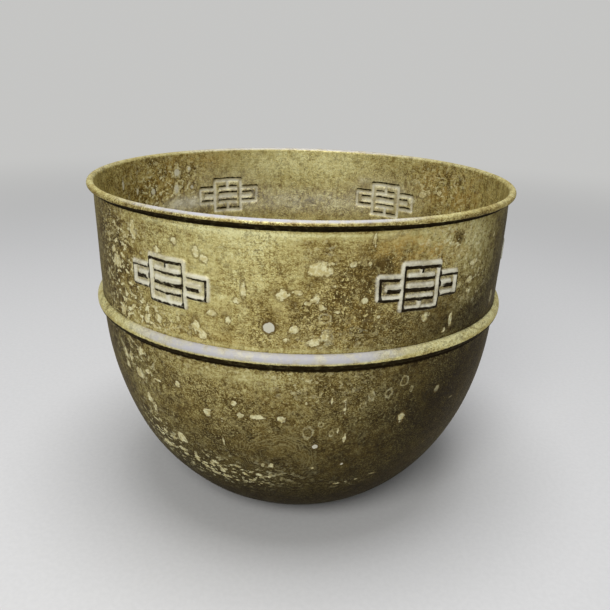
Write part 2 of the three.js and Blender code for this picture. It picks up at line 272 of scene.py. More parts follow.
INSIDE_BLOTCH_ZONES = [
    (118, 178, 22, 24, 1.2), (-126, 173, 20, 24, 1.2), (-152, 160, 14, 9, 1.0), (178, 160, 26, 12, 1.0),
]
INSIDE_FILM = [
    (-178, 157, 24, 9, 0.5), (-151, 170, 14, 14, 0.3), (149, 168, 12, 14, 0.2), (-134, 160, 9, 5, 1.1),
    (150, 166, 12, 10, 0.35), (158, 177, 1.6, 2.6, 0.4),
]

# Dried splashes: azimuth, height, width and length in millimetres
OUTSIDE_LIME = [
    (4.4, 175.5, 9, 8), (7, 174, 3, 5.5), (3, 174, 4, 4), (-3, 162.5, 6.5, 6), (4.2, 161, 3, 5),
    (5.6, 156.5, 4, 3), (2.3, 158.5, 3, 3), (-0.5, 158, 3, 4), (0.5, 163.5, 3.5, 3),
    (-0.4, 145, 4.5, 4.5), (6.6, 141.5, 5, 5.5), (4, 138.5, 6, 3.5), (7.8, 178, 2, 2),
    (12, 177.5, 4.5, 3), (14, 179, 2, 2), (16, 177.5, 2.6, 2.6), (8, 167, 2, 2.6), (15, 159.5, 3.5, 3),
    (-2, 139, 3.5, 3), (-42, 182, 5, 6), (-34, 176.5, 5, 4), (-23, 179.5, 4.5, 5.5), (-21, 176.5, 4, 4),
    (-24, 141.5, 6, 7), (-21.5, 137.5, 5, 4), (-39, 138, 5, 5), (-35, 140.5, 5, 4), (-50, 163.5, 8, 6),
    (-49.5, 136.5, 6, 6), (-47, 147, 3, 4), (-42, 186, 4, 5), (-11.7, 163, 2.6, 11), (-13, 158, 4, 3),
    (-28.5, 183.5, 4, 4.5), (-15.5, 147, 3, 5), (-19.5, 150, 5, 4), (40, 141, 2.6, 9), (38, 137, 3, 3),
    (31.5, 147, 7, 4.5), (16.5, 188.5, 2.6, 8), (9, 154, 3, 1.6), (18.6, 150.5, 1.6, 1.6),
    (47, 170, 7, 3), (46, 161, 5, 5), (46, 155, 4, 3), (57, 181, 3, 3), (-51, 110, 4, 7),
    (-51, 103, 5, 5), (-48, 110, 5, 6), (-43, 117, 7, 5), (-45, 102, 8, 7), (-41, 106, 6, 2.4),
    (-37, 103.5, 6, 1.4), (-42.8, 88, 4, 6), (-41, 84, 4, 10), (-33.5, 67, 7, 8), (-37, 64, 5, 3.4),
    (-40.6, 66, 4, 3), (-43, 55, 12, 5), (-35.6, 56, 8, 4), (-30.5, 54, 3, 8), (-28, 48, 4, 3),
    (-25.4, 44, 6, 4), (-22, 49, 3, 6), (-21, 44, 5, 3), (-18.3, 50, 4, 3), (-23.4, 55, 4, 3),
    (-17.8, 42, 3, 2), (-15, 43, 4, 2), (-12.7, 43, 3, 2), (-10, 43, 4, 1.6), (-10.2, 52, 4, 4),
    (-7, 51, 3, 4), (-8.4, 61.5, 3, 4), (-6, 61.5, 3, 4), (-14.7, 102, 3.8, 3.8), (-22, 93, 4, 6),
    (-18.3, 90, 1.6, 4), (-18.8, 75, 1.4, 6), (-3, 95, 5, 4), (-9, 95, 9, 2.4), (-13, 95, 4, 5),
    (-30, 106, 3, 5), (28.4, 90, 4, 7), (12.2, 103, 1.6, 13), (11.2, 87, 1.6, 5), (13.2, 82, 2.2, 6),
    (5.6, 60, 3, 2), (39, 102, 3, 4), (46.7, 91, 4, 1.6), (51, 89, 4, 1.2), (42, 62, 2, 2),
    (3, 105, 2.4, 2.4), (9, 106, 1.2, 5), (14, 44, 4, 1.6), (17, 45, 3, 1.4), (20, 45.5, 4, 1.6),
    (25, 48, 6, 1.4),
]
OUTSIDE_RINGS = [
    (3.6, 87, 5, 8), (6.6, 92, 3, 4), (27.4, 113, 5, 6), (23.4, 107, 5, 6), (18.8, 107, 4, 6),
    (16.8, 102, 3, 4), (9.5, 86, 3, 5), (30, 107, 2.4, 4), (6.4, 151, 6, 5), (7, 141.5, 6, 6),
]
OUTSIDE_DROPS = [(-5.9, 145.5, 6, 6), (5.6, 77, 3.2, 3.4), (13.7, 62, 2.2, 2.2)]
INSIDE_LIME = [
    (-131, 183, 9, 7), (-131, 187, 5, 8), (-130.5, 172, 6, 9), (-120, 173, 5, 6), (-130, 162, 14, 6),
    (-127, 158, 9, 5), (-136, 186, 5, 5), (-140, 161, 5, 6), (-112, 176, 3, 8), (-125, 180, 3, 3),
    (-104, 183, 2.6, 10), (133, 172, 6, 5), (138, 166, 6, 5), (126, 176, 5, 4), (170, 161, 4, 3),
    (-175, 158, 5, 3), (176, 154, 6, 3), (-170, 160, 4, 3), (-158, 161, 6, 4),
]
INSIDE_DROPS = [
    (-131, 184, 5, 6), (-130.5, 172, 4, 7), (-120, 173, 4.5, 5), (-112, 176, 2.4, 6),
    (-104, 183, 2.4, 8), (-131, 162, 8, 3), (-136, 186, 3, 3), (-137, 172, 3, 3.4),
]

# Greatest distance that is told apart: half widths from a splash, millimetres from a line of painted
# shade
FAR_OUTSIDE = 6.0

# Splashes on each wall that the photograph hides: number, spread, least width and stretch
HIDDEN_SPLASHES = 70
SPLASH_SPREAD = 3
LEAST_SPLASH = 1.2
SPLASH_STRETCH = (0.8, 1.8)

# Wiped swirls: their centres, and the spacing, inner and outer reach of their lines
SWIRLS = [(-0.008, -0.1115, 0.068), (0.094, 0.063, 0.074), (-0.085, 0.082, 0.095)]
SWIRL_SIZE = (0.0018, 0.006, 0.025)
SWIRL_STRENGTH = 0.55

# Camera, fitted to the outlines in the photograph
IMAGE_SIZE = 610
FOCAL_PIXELS = 679
SENSOR_WIDTH = 36
CAMERA_PLACE = Vector((0.00406, -0.41935, 0.26629))
CAMERA_PITCH = math.radians(20.085)
CAMERA_ROLL = math.radians(1.672)
CLIP_START = 0.01

# Stage
BACKGROUND = (0.56, 0.56, 0.55, 1)
FLOOR_COLOUR = (0.6, 0.595, 0.58)
FLOOR_SHADE = tuple(0.96 * part for part in FLOOR_COLOUR)
FLOOR_SIZE = 40
FLOOR_DROP = 0.3 * MM
FLOOR_FADE = (0.5, 1.6)  # distances between which the floor turns into the background
AMBIENT = 0.3
AMBIENT_COLOUR = (0.95, 0.97, 1.0, 1)

# Lamps: name, place, target, size, power and colour
LAMPS = [
    ("key", (-0.35, -1.3, 1.15), (0, 0, 0.11), 0.8, 16, (1, 1, 1)),
    ("top", (0, -0.12, 1.6), (0, 0, 0.1), 0.9, 17, (0.94, 0.95, 1.0)),
]


def collar_radius(z):
    """Outside of the collar's straight wall."""
    share = (z - BELT_HEIGHT) / (CURL_HEIGHT - BELT_HEIGHT)
    return BELT_RADIUS + (COLLAR_TOP_RADIUS - BELT_RADIUS) * share


BASE_SWING = math.acos((BASE_RADIUS / BELT_RADIUS) ** (1 / BOWL_FULLNESS))
BOWL_DEPTH = BELT_HEIGHT / math.sin(BASE_SWING)


def bowl_radius(z):
    """Outside of the bowl below the belt."""
    swing = np.arcsin((BELT_HEIGHT - z) / BOWL_DEPTH)
    return BELT_RADIUS * np.cos(swing) ** BOWL_FULLNESS


def wall_radius(z):
    return np.where(z > BELT_HEIGHT, collar_radius(z), bowl_radius(np.minimum(z, BELT_HEIGHT)))


def smooth(value, low, high):
    """0 up to low, 1 from high on, and a soft step between them."""
    share = np.clip((value - low) / (high - low), 0, 1)
    return share * share * (3 - 2 * share)


def between(value, rise, fade):
    """1 between two soft edges, and 0 outside them."""
    return smooth(value, *rise) * (1 - smooth(value, *fade))


# Meshes


def new_mesh(name, points, faces):
    mesh = bpy.data.meshes.new(name)
    mesh.from_pydata(points.tolist(), [], faces)
    mesh.validate()
    mesh.shade_smooth()
    piece = bpy.data.objects.new(name, mesh)
    bpy.context.scene.collection.objects.link(piece)
    return piece


def paint(piece, **layers):
    """Keeps numbers for each point, for the materials to read."""
    for name, values in layers.items():
        attribute = piece.data.attributes.new(name, "FLOAT", "POINT")
        attribute.data.foreach_set("value", np.asarray(values, dtype=np.float32).ravel())


def around(count):
    return np.arange(count) * (math.tau / count)


def ring_faces(rows, columns):
    """Quads of a closed tube: every row joins the next, and the last joins the first."""
    faces = []
    for row in range(rows):
        after = (row + 1) % rows
        for column in range(columns):
            beside = (column + 1) % columns
            faces.append((
                row * columns + column,
                row * columns + beside,
                after * columns + beside,
                after * columns + column,
            ))
    return faces


def turned_points(radius, height, azimuth):
    """Points of a grid: a row for each section point, a column for each azimuth."""
    x = radius * np.sin(azimuth)
    y = -radius * np.cos(azimuth)
    return np.stack([x, y, np.broadcast_to(height, x.shape)], axis=-1).reshape(-1, 3)


def turned_ring(name, section, columns):
    """A closed section, given counter-clockwise as radius and height, turned about the axis."""
    azimuth = around(columns)
    radius = np.repeat(section[:, :1], columns, axis=1)
    points = turned_points(radius, section[:, 1:], azimuth[None, :])
    return new_mesh(name, points, ring_faces(len(section), columns))


def arc(centre, radius, angle):
    return np.stack([centre[0] + radius * np.cos(angle), centre[1] + radius * np.sin(angle)], axis=1)


def bend(start, corner, end, count):
    """Points of a soft bend that is drawn towards a corner."""
    share = np.linspace(0, 1, count)[:, None]
    return (1 - share) ** 2 * start + 2 * share * (1 - share) * corner + share ** 2 * end


def offset(line, distance):
    """The line moved to the left of its direction."""
    along = np.gradient(line, axis=0)
    along /= np.linalg.norm(along, axis=1, keepdims=True)
    left = np.stack([-along[:, 1], along[:, 0]], axis=1)
    return line + distance * left


# Finish, worked out for every point of a piece


def turn_between(azimuth, degrees):
    """Angle from a place on the wall, the short way round."""
    return (azimuth - math.radians(degrees) + math.pi) % math.tau - math.pi


def zones(patches, azimuth, height):
    """Sum of soft patches."""
    total = np.zeros(np.broadcast(azimuth, height).shape)
    for degrees, level, wide, tall, strength in patches:
        turn = np.degrees(turn_between(azimuth, degrees)) / wide
        rise = (height / MM - level) / tall
        total += strength * np.exp(-turn ** 2 - rise ** 2)
    return total


def splash_depth(splashes, azimuth, height):
    """Depth inside the nearest splash: 1 in its middle, 0 on its edge and less outside."""
    deepest = np.full(np.broadcast(azimuth, height).shape, -FAR_OUTSIDE)
    for degrees, level, wide, tall in splashes:
        place = level * MM
        slope = (wall_radius(place + MM) - wall_radius(place - MM)) / (2 * MM)
        beside = turn_between(azimuth, degrees) * wall_radius(place) / MM
        along = (height / MM - level) * math.hypot(1, slope)
        deepest = np.maximum(deepest, 1 - np.hypot(beside / (wide / 2), along / (tall / 2)))
    return deepest


def hidden_splashes(seed, first, last, low, high):
    """Splashes on a side that the photograph doesn't show, like those that it does."""
    draw = np.random.default_rng(seed)
    degrees = draw.uniform(first, last, HIDDEN_SPLASHES)
    level = draw.uniform(low, high, HIDDEN_SPLASHES)
    wide = draw.gamma(SPLASH_SPREAD, 1.0, HIDDEN_SPLASHES) + LEAST_SPLASH
    tall = wide * draw.uniform(*SPLASH_STRETCH, HIDDEN_SPLASHES)
    return list(zip(degrees, level, wide, tall))


OUTSIDE_SPLASHES = OUTSIDE_LIME + hidden_splashes(seed=3, first=62, last=298, low=40, high=190)
INSIDE_SPLASHES = INSIDE_LIME + hidden_splashes(seed=5, first=-90, last=90, low=20, high=190)


def outside_shade(azimuth, height):
    """Painted shade, as the share of brass colour kept: less towards the base, and less in patches of
    the wall.
    """
    sides = np.clip(1 + zones(SHADE_ZONES, azimuth, height), DARKEST_SIDE, 1)
    bowl = BASE_SHADE + BELT_SHADE * smooth(height, SHADE_START, BELT_HEIGHT)
    return sides * np.where(height < BELT_HEIGHT, bowl, 1)


def finish_layers(azimuth, height, **places):
    """Layers of bright brass with patches and splashes on it."""
    layers = {"shade": np.ones(np.broadcast(azimuth, height).shape)}
    for name in ("tone", "warm", "fleck", "blotch", "painted_highlight", "residue_and_highlight", "shade_and_dirt"):
        layers[name] = zones(places.get(name, ()), azimuth, height)
    for name in ("lime", "ring", "drop"):
        layers[name] = splash_depth(places.get(name, ()), azimuth, height)
    return layers


def outside_finish(azimuth, height):
    layers = finish_layers(
        azimuth, height, tone=OUTSIDE_ZONES, warm=WARM_ZONES, fleck=FLECK_ZONES, blotch=BLOTCH_ZONES,
        lime=OUTSIDE_SPLASHES, ring=OUTSIDE_RINGS, drop=OUTSIDE_DROPS,
    )
    layers["tone"] += np.where(height < BELT_HEIGHT, BOWL_TONE, COLLAR_TONE)
    layers["shade"] *= outside_shade(azimuth, height)
    return layers


def inside_finish(azimuth, height):
    layers = finish_layers(
        azimuth, height, tone=INSIDE_ZONES, warm=INSIDE_WARM_ZONES, fleck=INSIDE_FLECK_ZONES,
        blotch=INSIDE_BLOTCH_ZONES, lime=INSIDE_SPLASHES, drop=INSIDE_DROPS,
    )
    layers["tone"] += INSIDE_TONE
    layers["fleck"] += INSIDE_FLECKS
    return layers


def plain_finish(section, azimuth, tone):
    """Layers of a turned section that has one tone, and no patches or splashes."""
    layers = finish_layers(azimuth, section)
    layers["tone"] += tone
    return layers


def joined(*parts):
    """Layers of rows, one part below the other."""
    return {name: np.concatenate([part[name] for part in parts]) for name in parts[0]}


def upside_down(part):
    return {name: values[::-1] for name, values in part.items()}


# Motif


def mirrored(block):
    left, right, low, high = block
    return -right, -left, low, high


def flipped(block):
    left, right, low, high = block
    return left, right, -high, -low


def motif_crowns():
    """Crowns of all the ridges, as rectangles from left to right and low to high."""
    line = LINE_CROWN / 2
    bar = BAR_CROWN / 2
    frame_top = (-FRAME_REACH, FRAME_REACH, FRAME_RISE - line, FRAME_RISE + line)
    frame_side = (FRAME_REACH - line, FRAME_REACH + line, -FRAME_RISE, FRAME_RISE)
    rung = (-FRAME_BAR_REACH, FRAME_BAR_REACH, WING_RISE - line, WING_RISE + line)
    tick = (-line, line, WING_RISE, FRAME_RISE)
    wing_top = (FRAME_REACH, WING_REACH, WING_RISE - line, WING_RISE + line)
    wing_end = (WING_REACH - line, WING_REACH + line, -WING_RISE, WING_RISE)
    wing_bar = (FRAME_REACH, WING_BAR_REACH, -bar, bar)
    middle = (-FRAME_BAR_REACH, FRAME_BAR_REACH, -bar, bar)
    right = [frame_side, wing_end, wing_bar, wing_top, flipped(wing_top)]
    level = [frame_top, rung, tick]
    return [middle, *level, *map(flipped, level), *right, *map(mirrored, right)]


def ridges(across, up):
    """Height of the pressed ridges, from 0 on the wall to 1 on a crown."""
    height = np.zeros(np.broadcast(across, up).shape)
    for left, right, low, high in motif_crowns():
        beside = np.maximum(np.maximum(left - across, across - right), 0)
        above = np.maximum(np.maximum(low - up, up - high), 0)
        away = np.minimum(np.hypot(beside, above) / RIDGE_FLANK, 1)
        height = np.maximum(height, 0.5 + 0.5 * np.cos(math.pi * away))
    return height


def motif_field(across, up):
    """1 on the whole field of the motif, and 0 outside it."""
    edge = LINE_CROWN / 2 + RIDGE_FLANK
    in_frame = np.minimum(FRAME_REACH + edge - np.abs(across), FRAME_RISE + edge - np.abs(up))
    in_wings = np.minimum(WING_REACH + edge - np.abs(across), WING_RISE + edge - np.abs(up))
    return smooth(np.maximum(in_frame, in_wings), 0, RIDGE_FLANK)


def ripple(waves, places, number):
    """Sum of waves, each along its own direction, that start anew in every motif."""
    return sum(
        size * np.sin(turn * place + start * number)
        for (size, turn, start), place in zip(waves, places)
    )


def motif_place(azimuth, up):
    """Millimetres across the nearest motif and up from its middle, with the unevenness of hand work."""
    turn = math.tau / MOTIF_COUNT
    number = np.round((azimuth - MOTIF_AZIMUTH) / turn)
    across = (azimuth - MOTIF_AZIMUTH - number * turn) * collar_radius(MOTIF_HEIGHT) / MM
    shift = np.asarray(MOTIF_SHIFTS)[number.astype(int) % MOTIF_COUNT]
    across = across - shift[..., 0]
    up = up - shift[..., 1] - shift[..., 2] * across
    wave = ripple(SIDE_WAVES, (up, across), number)
    sway = ripple(RISE_WAVES, (across, up), number)
    return across + wave, up + sway


def far_side(azimuth):
    """1 or -1: the side of an upright ridge that faces away from the front, and so from the light."""
    return np.where(np.sin(azimuth) > 0, 1, -1)


def by_side(side, strengths):
    left, right = strengths
    return np.where(side > 0, right, left)


def motif_shade(across, up, side):
    """Painted shade, with some dirt, on the flanks that face down and away from the front, outside."""
    depth = np.full(np.broadcast(across, up).shape, -FAR_OUTSIDE)
    for left, right, low, high in FLANK_SHADE_LINES:
        beside = np.minimum(side * across - left, right - side * across)
        depth = np.maximum(depth, np.minimum(beside, np.minimum(up - low, high - up)))
    return by_side(side, RIDGE_SHADE) * smooth(depth, -FLANK_SHADE_EDGE, FLANK_SHADE_EDGE)


def motif_chalk_and_highlight(across, up, side):
    """Pale deposit on the motif, thickest on crowns, and a painted highlight on the flanks that face up
    and to the front.
    """
    share = RIDGE_FLANK / math.pi / SLOPE_STEP
    sideways = (ridges(across + SLOPE_STEP, up) - ridges(across - SLOPE_STEP, up)) * share
    upwards = (ridges(across, up + SLOPE_STEP) - ridges(across, up - SLOPE_STEP)) * share
    # Painted highlight on the flanks that face up, or sideways towards the front
    lit = np.clip(np.maximum(side * sideways, -upwards), 0, 1)
    field = by_side(side, CHALK_FIELD) * motif_field(across, up)
    crowns = by_side(side, CHALK_CROWNS) * ridges(across, up)
    return np.clip(field + crowns + by_side(side, FLANK_HIGHLIGHT) * lit, 0, 1)


def groove_shade(across, up):
    """Painted shade on the upper edges of the grooves, inside."""
    return GROOVE_SHADE * np.clip(ridges(across, up - GROOVE_SHIFT) - ridges(across, up), 0, 1)


def fine_steps(low, high, fine, coarse, near):
    """Positions from low to high, close together where near says so and further apart elsewhere."""
    steps = np.linspace(low, high, round((high - low) / fine) + 1)
    every = round(coarse / fine)
    kept = near(steps) | (np.arange(len(steps)) % every == 0)
    kept[0] = kept[-1] = True
    return steps[kept]


def near_lines(lines, margin):
    return lambda steps: np.min(np.abs(steps[:, None] - np.asarray(lines)), axis=1) < margin


def collar_azimuths():
    uprights = [0, FRAME_BAR_REACH + BAR_END, FRAME_REACH, WING_BAR_REACH + BAR_END, WING_REACH]
    lines = [side * line for line in uprights for side in (-1, 1)]
    scale = MM / collar_radius(MOTIF_HEIGHT)
    half = math.pi / MOTIF_COUNT / scale
    margin = LINE_CROWN / 2 + RIDGE_FLANK + SIDE_MARGIN
    across = fine_steps(-half, half, FINE_STEP, COARSE_STEP, near_lines(lines, margin))[:-1]
    starts = MOTIF_AZIMUTH + np.arange(MOTIF_COUNT) * math.tau / MOTIF_COUNT
    return (starts[:, None] + across[None, :] * scale).ravel()


def collar_heights(fine):
    low = (COLLAR_FOOT - MOTIF_HEIGHT) / MM
    high = (CURL_HEIGHT - MOTIF_HEIGHT) / MM
    ridge_top = FRAME_RISE + LINE_CROWN / 2 + RIDGE_FLANK + RISE_MARGIN

    def near(steps):
        return (np.abs(steps) < ridge_top) | (steps > high - RIM_MARGIN)

    return MOTIF_HEIGHT + fine_steps(low, high, fine, COARSE_STEP, near) * MM


# Pieces


def dents(rise, fade, waves, azimuth, height):
    """Slight unevenness of a wall, which dies out towards both its edges."""
    total = 0
    for size, count, climb, start in waves:
        total = total + size * np.sin(count * azimuth + climb * height + start)
    return between(height, rise, fade) * total * MM


def highlight_arc(azimuth, middle, full, end):
    away = np.degrees(np.abs(turn_between(azimuth, middle)))
    return 1 - smooth(away, full, end)


def highlight_share(azimuth):
    """How far a painted highlight covers the crowns of rim and belt: most at the front, in patches
    elsewhere.
    """
    front = highlight_arc(azimuth, *FRONT_HIGHLIGHT)
    back = BACK_HIGHLIGHT_SHARE * highlight_arc(azimuth, *BACK_HIGHLIGHT)
    patches = 0.5 + 0.25 * np.sin(3 * azimuth + 1) + 0.25 * np.sin(7 * azimuth)
    return np.maximum(np.maximum(front, back), SIDE_HIGHLIGHT_SHARE * patches)


def curl_layers(angle, azimuth):
    """Finish of the curled rim: painted light on its upper side, a painted highlight on its crown, and
    painted shade underneath.
    """
    layers = plain_finish(angle, azimuth, CURL_TONE)
    # Painted light on the roll's upper side, and a painted highlight on its crown
    layers["tone"] += CURL_LIGHT * smooth(angle, *CURL_LIT)
    highlight_mask = highlight_share(azimuth)
    layers["painted_highlight"] = between(angle, CURL_CROWN_RISE, CURL_CROWN_FADE) * highlight_mask
    # Painted shade on the roll's underside
    shade_edge = CURL_SHADE_EDGE + CURL_SHADE_SHIFT * highlight_mask
    layers["shade_and_dirt"] = 1 - smooth(angle - shade_edge, *CURL_SHADE_SOFT)
    return layers


def gleam(height, middle, size, strength):
    return strength * np.exp(-((height - middle) / size) ** 2)


def wall_rows(wall, azimuth):
    """Place of a wall's points on the motifs, the height of the ridges there, and the wall's radius."""
    across, rise = motif_place(azimuth, (wall - MOTIF_HEIGHT) / MM)
    relief = ridges(across, rise)
    radius = collar_radius(wall) + relief * RIDGE_HEIGHT * MM + dents(*COLLAR_DENTS, azimuth, wall)
    return across, rise, relief, radius


def collar_outside(azimuth, wall):
    across, rise, _, radius = wall_rows(wall, azimuth)
    side = far_side(azimuth)
    layers = outside_finish(azimuth, wall)
    # Painted highlights below the rim and above the belt
    layers["tone"] += (gleam(wall, *RIM_GLEAM) + gleam(wall, *BELT_GLEAM)) * highlight_share(azimuth)
    # Painted shade beside the motif's ridges, and painted shadow under the rim
    layers["shade_and_dirt"] = np.maximum(motif_shade(across, rise, side), smooth(wall, *RIM_SHADOW))
    # Chalk on the motif, with a painted highlight on its lit flanks
    layers["residue_and_highlight"] = motif_chalk_and_highlight(across, rise, side)
    return radius, layers


def collar_inside(azimuth, wall):
    across, rise, relief, radius = wall_rows(wall, azimuth)
    layers = inside_finish(azimuth, wall)
    # Painted shade above the grooves
    layers["shade_and_dirt"] = groove_shade(across, rise)
    # Grooves pale with chalk and a painted highlight, and a real film of lime
    layers["residue_and_highlight"] = np.maximum(relief, zones(INSIDE_FILM, azimuth, wall))
    return radius - SHEET, layers


def make_collar():
    azimuth = collar_azimuths()[None, :]
    outer_wall = collar_heights(FINE_STEP)[:, None]
    inner_wall = collar_heights(INSIDE_STEP)[:, None]
    outer_radius, outer = collar_outside(azimuth, outer_wall)
    inner_radius, inner = collar_inside(azimuth, inner_wall)
    centre = (CURL_RADIUS, CURL_HEIGHT)
    over = np.linspace(math.pi, -CURL_TUCK, CURL_OVER)[1:]
    under = np.linspace(-CURL_TUCK, math.pi, CURL_UNDER)[:-1]
    curl = np.concatenate([arc(centre, CURL_OUTSIDE, over), arc(centre, CURL_INSIDE, under)])
    curl_radius = np.repeat(curl[:, :1], azimuth.shape[1], axis=1)
    radius = np.concatenate([inner_radius, curl_radius, outer_radius[::-1]])
    height = np.concatenate([inner_wall, curl[:, 1:], outer_wall[::-1]])
    # The section runs up the inside and down the outside, so its faces are turned to face outwards
    faces = [face[::-1] for face in ring_faces(len(radius), azimuth.shape[1])]
    piece = new_mesh("collar_brass", turned_points(radius, height, azimuth), faces)
    curled = curl_layers(np.concatenate([over, under])[:, None], azimuth)
    paint(piece, **joined(inner, curled, upside_down(outer)))
    return piece


def bowl_line():
    """Outside of the bowl from near the middle of its base to the top of its upright edge."""
    base_edge = BASE_RADIUS - BASE_ROUND
    flat = np.zeros((BASE_ROWS - 1, 2))
    flat[:, 0] = np.linspace(BASE_CENTRE, base_edge, BASE_ROWS)[:-1]
    swing = np.linspace(BASE_SWING, 0, CURVE_SAMPLES)
    curve = np.stack([
        BELT_RADIUS * np.cos(swing) ** BOWL_FULLNESS,
        BELT_HEIGHT - BOWL_DEPTH * np.sin(swing),
    ], axis=1)
    length = np.concatenate([[0], np.cumsum(np.linalg.norm(np.diff(curve, axis=0), axis=1))])
    along = np.linspace(BASE_ROUND, length[-1], BOWL_ROWS)
    side = np.stack([np.interp(along, length, curve[:, axis]) for axis in (0, 1)], axis=1)
    soft = bend(np.array([base_edge, 0.0]), np.array([BASE_RADIUS, 0.0]), side[0], CORNER_ROWS)[:-1]
    lap_heights = (COLLAR_FOOT, (COLLAR_FOOT + BOWL_TOP) / 2, BOWL_TOP)
    lap = [[collar_radius(z) - (SHEET + FIT_GAP), z] for z in lap_heights]
    return np.concatenate([flat, soft, side, lap])


def make_bowl():
    outside = bowl_line()
    inside = offset(outside, SHEET)[::-2]  # every second row, from the top down
    line = np.concatenate([outside, inside])
    azimuth = around(BOWL_COLUMNS)[None, :]
    height = line[:, 1:]
    radius = line[:, :1] + dents(*BOWL_DENTS, azimuth, height)
    points = turned_points(radius, height, azimuth)
    rows = len(line)
    faces = ring_faces(rows, BOWL_COLUMNS)[:(rows - 1) * BOWL_COLUMNS]
    bottom = len(points)
    top = bottom + 1
    points = np.concatenate([points, [[0, 0, outside[0, 1]], [0, 0, inside[-1, 1]]]])
    last = (rows - 1) * BOWL_COLUMNS
    for column in range(BOWL_COLUMNS):
        beside = (column + 1) % BOWL_COLUMNS
        faces.append((bottom, beside, column))
        faces.append((top, last + column, last + beside))
    piece = new_mesh("bowl_brass", points, faces)

    outer = outside_finish(azimuth, outside[:, 1:])
    # Painted shade, with some dirt, on the bowl under the belt
    shade_depth = UNDER_BELT_SHADE_DEPTH + UNDER_BELT_SHADE_SWAY * np.sin(azimuth + UNDER_BELT_SHADE_TURN)
    outer["shade_and_dirt"] = smooth(outside[:, 1:], BELT_FOOT - shade_depth, UNDER_BELT_SHADE_TOP)
    layers = joined(outer, inside_finish(azimuth, inside[:, 1:]))
    paint(piece, **{
        name: np.concatenate([values.ravel(), [values[0, 0], values[-1, 0]]])
        for name, values in layers.items()
    })
    return piece


def make_belt():
    angle = np.linspace(-math.pi / 2, math.pi / 2, BELT_ROWS)
    height = BELT_HEIGHT + BELT_WIDTH / 2 * np.sin(angle)
    foot = wall_radius(height) + BELT_FIT
    edge = SHEET / 4
    crown = BELT_CROWN - BELT_FIT
    outside = np.stack([foot + edge + (crown - edge) * np.cos(angle), height], axis=1)
    inside = np.stack([foot + (crown - SHEET) * np.cos(angle), height], axis=1)
    piece = turned_ring("belt_brass", np.concatenate([outside, inside[::-1]]), BELT_COLUMNS)

    section = np.concatenate([angle, angle[::-1]])[:, None]
    azimuth = around(BELT_COLUMNS)[None, :]
    layers = plain_finish(section, azimuth, BELT_TONE)
    # Painted light on the upper side, a painted highlight on the crown, and painted shade on the lower
    # half
    layers["tone"] += BELT_LIGHT * smooth(section, *BELT_LIT)
    highlight_mask = highlight_share(azimuth)
    layers["painted_highlight"] = smooth(section - (1 - highlight_mask) * BELT_HIGHLIGHT_SHIFT, *BELT_HIGHLIGHT_EDGE) * highlight_mask
    layers["shade_and_dirt"] += 1 - smooth(section, *BELT_LOWER_SHADE)
    paint(piece, **layers)
    return piece


def make_wire():
    section = arc((CURL_RADIUS, CURL_HEIGHT), WIRE_RADIUS, around(WIRE_ROWS))
    return turned_ring("rim_wire_iron", section, HIDDEN_COLUMNS)


def make_solder():
    low = lowest("lap_solder")
    high = highest("lap_solder")
    wall = collar_radius(np.array([low, high])) - SHEET - FIT_GAP
    corner = np.array([wall[0], low])
    top = np.array([wall[1], high])
    toe = np.array([collar_radius(BOWL_TOP) - 2 * SHEET - FIT_GAP, low])
    middle = corner + (toe - corner) * SOLDER_HOLLOW
    section = np.concatenate([[corner], bend(top, middle, toe, SOLDER_ROWS)])
    return turned_ring("lap_solder_fillet", section, HIDDEN_COLUMNS)


# Materials


